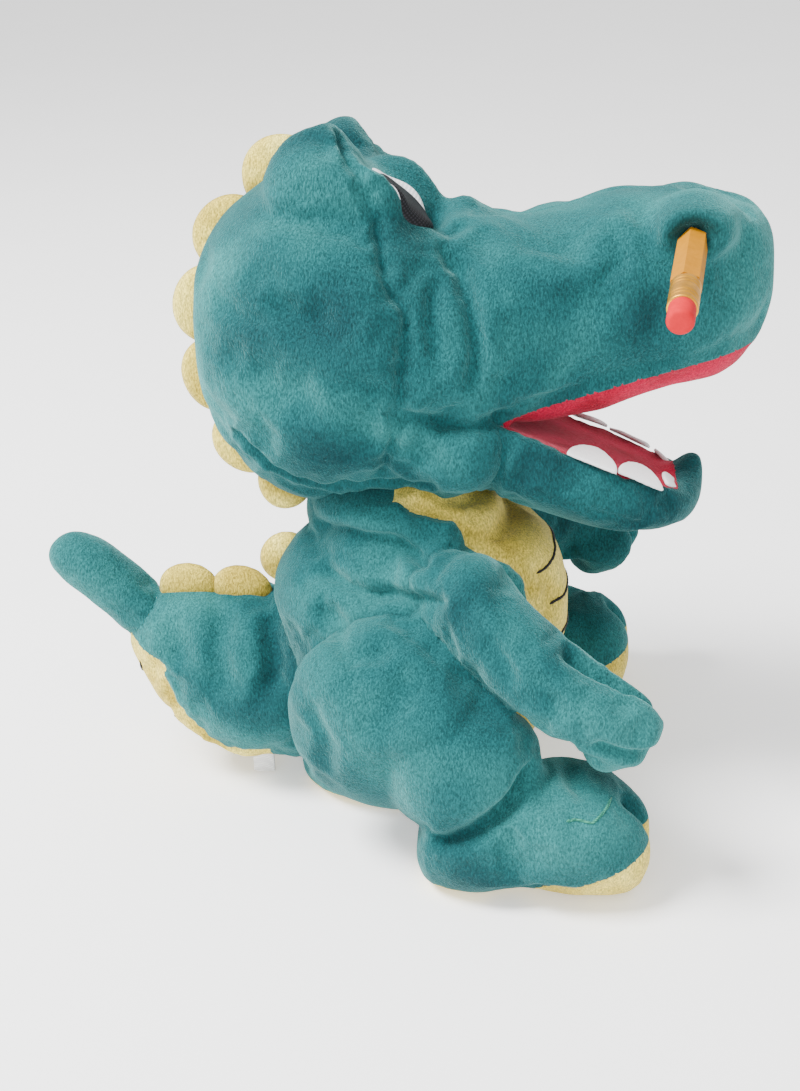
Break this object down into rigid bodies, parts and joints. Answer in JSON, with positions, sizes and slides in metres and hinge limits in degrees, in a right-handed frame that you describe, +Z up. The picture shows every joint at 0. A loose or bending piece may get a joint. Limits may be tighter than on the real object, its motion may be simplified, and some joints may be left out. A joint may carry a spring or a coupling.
{
  "type": "stuffed dinosaur",
  "caption": "Soft plush dinosaur that sits upright on big feet, with an open mouth, felt teeth, a scalloped ridge and a pencil held in one nostril.",
  "frame": {"origin": "middle of the flat seat, on the surface that the toy stands on", "axes": "-Y is forward, the way the snout points, +X is the dinosaur's left and +Z is up"},
  "size_m": [0.142, 0.2101, 0.2043],
  "materials": {
    "teal_plush": "short pile plush",
    "dark_teal_plush": "short pile plush",
    "cream_plush": "short pile plush",
    "red_plush": "short pile plush",
    "white_satin": "woven satin",
    "black_fabric": "woven",
    "white_felt": "pressed felt",
    "fibre_stuffing": "loose fibre",
    "cotton_bag": "plain weave",
    "label_tape": "woven tape",
    "yellow_lacquer": "gloss lacquer",
    "graphite": "satin",
    "gold_metal": "satin",
    "pink_rubber": "matte"
  },
  "bodies": {
    "torso": {"torso_skin": "teal_plush", "torso_stuffing": "fibre_stuffing", "pellet_bag": "cotton_bag", "seat_panel": "cream_plush", "belly_panel": "cream_plush", "back_scallop": "cream_plush"},
    "neck": {"neck_skin": "teal_plush", "neck_stuffing": "fibre_stuffing"},
    "head": {"head_skin": "teal_plush", "head_stuffing": "fibre_stuffing", "right_eye_white": "white_satin", "right_pupil": "black_fabric", "right_nostril_pocket": "dark_teal_plush", "left_eye_white": "white_satin", "left_pupil": "black_fabric", "left_nostril_pocket": "dark_teal_plush", "palate_lining": "red_plush", "head_scallop_1": "cream_plush", "head_scallop_2": "cream_plush", "head_scallop_3": "cream_plush", "head_scallop_4": "cream_plush", "head_scallop_5": "cream_plush", "head_scallop_6": "cream_plush"},
    "jaw": {"jaw_skin": "teal_plush", "jaw_stuffing": "fibre_stuffing", "jaw_lining": "red_plush", "right_rear_tooth": "white_felt", "right_middle_tooth": "white_felt", "right_front_tooth": "white_felt", "left_rear_tooth": "white_felt", "left_middle_tooth": "white_felt", "left_front_tooth": "white_felt"},
    "right_leg": {"right_leg_skin": "teal_plush", "right_leg_stuffing": "fibre_stuffing", "right_sole": "cream_plush"},
    "left_leg": {"left_leg_skin": "teal_plush", "left_leg_stuffing": "fibre_stuffing", "left_sole": "cream_plush"},
    "right_arm": {"right_arm_skin": "teal_plush", "right_arm_stuffing": "fibre_stuffing"},
    "left_arm": {"left_arm_skin": "teal_plush", "left_arm_stuffing": "fibre_stuffing"},
    "tail": {"tail_skin": "teal_plush", "tail_stuffing": "fibre_stuffing", "tail_panel": "cream_plush", "tail_scallop_front": "cream_plush", "tail_scallop_rear": "cream_plush", "care_label": "label_tape"},
    "tail_tip": {"tail_tip_skin": "teal_plush", "tail_tip_stuffing": "fibre_stuffing"},
    "pencil": {"pencil_barrel": "yellow_lacquer", "pencil_lead": "graphite", "pencil_ferrule": "gold_metal", "pencil_eraser": "pink_rubber"}
  },
  "joints": [
    {"name": "neck_nod", "type": "hinge", "parent": "torso", "child": "neck", "pos_m": [0, -0.012, 0.095], "axis": [1, 0, 0], "range_deg": [-8, 5], "stiffness_Nm_per_rad": 1.2},
    {"name": "neck_turn", "type": "hinge", "parent": "neck", "child": "head", "pos_m": [0, -0.012, 0.095], "axis": [0.1564, 0, 0.9877], "range_deg": [-10, 10], "stiffness_Nm_per_rad": 0.5},
    {"name": "jaw_open", "type": "hinge", "parent": "head", "child": "jaw", "pos_m": [0.00438, -0.044, 0.12266], "axis": [0.9877, 0, -0.1564], "range_deg": [-12, 4], "stiffness_Nm_per_rad": 0.4},
    {"name": "right_arm_swing", "type": "hinge", "parent": "torso", "child": "right_arm", "pos_m": [-0.038, -0.032, 0.083], "axis": [1, 0, 0], "range_deg": [-50, 0], "stiffness_Nm_per_rad": 0.1},
    {"name": "left_arm_swing", "type": "hinge", "parent": "torso", "child": "left_arm", "pos_m": [0.038, -0.032, 0.083], "axis": [1, 0, 0], "range_deg": [-50, 0], "stiffness_Nm_per_rad": 0.1},
    {"name": "right_leg_swing", "type": "hinge", "parent": "torso", "child": "right_leg", "pos_m": [-0.041, -0.01, 0.0465], "axis": [1, 0, 0], "range_deg": [-5, 15], "stiffness_Nm_per_rad": 0.6},
    {"name": "left_leg_swing", "type": "hinge", "parent": "torso", "child": "left_leg", "pos_m": [0.041, -0.01, 0.0465], "axis": [1, 0, 0], "range_deg": [-5, 15], "stiffness_Nm_per_rad": 0.6},
    {"name": "tail_lift", "type": "hinge", "parent": "torso", "child": "tail", "pos_m": [0, 0.026, 0.035], "axis": [1, 0, 0], "range_deg": [-5, 6], "stiffness_Nm_per_rad": 0.5},
    {"name": "tail_tip_bend", "type": "hinge", "parent": "tail", "child": "tail_tip", "pos_m": [0, 0.073, 0.057], "axis": [1, 0, 0], "range_deg": [-12, 11], "stiffness_Nm_per_rad": 0.05},
    {"name": "pencil_pull", "type": "slide", "parent": "head", "child": "pencil", "axis": [-0.9761, 0.1488, -0.1583], "range_m": [0, 0.03]}
  ]
}
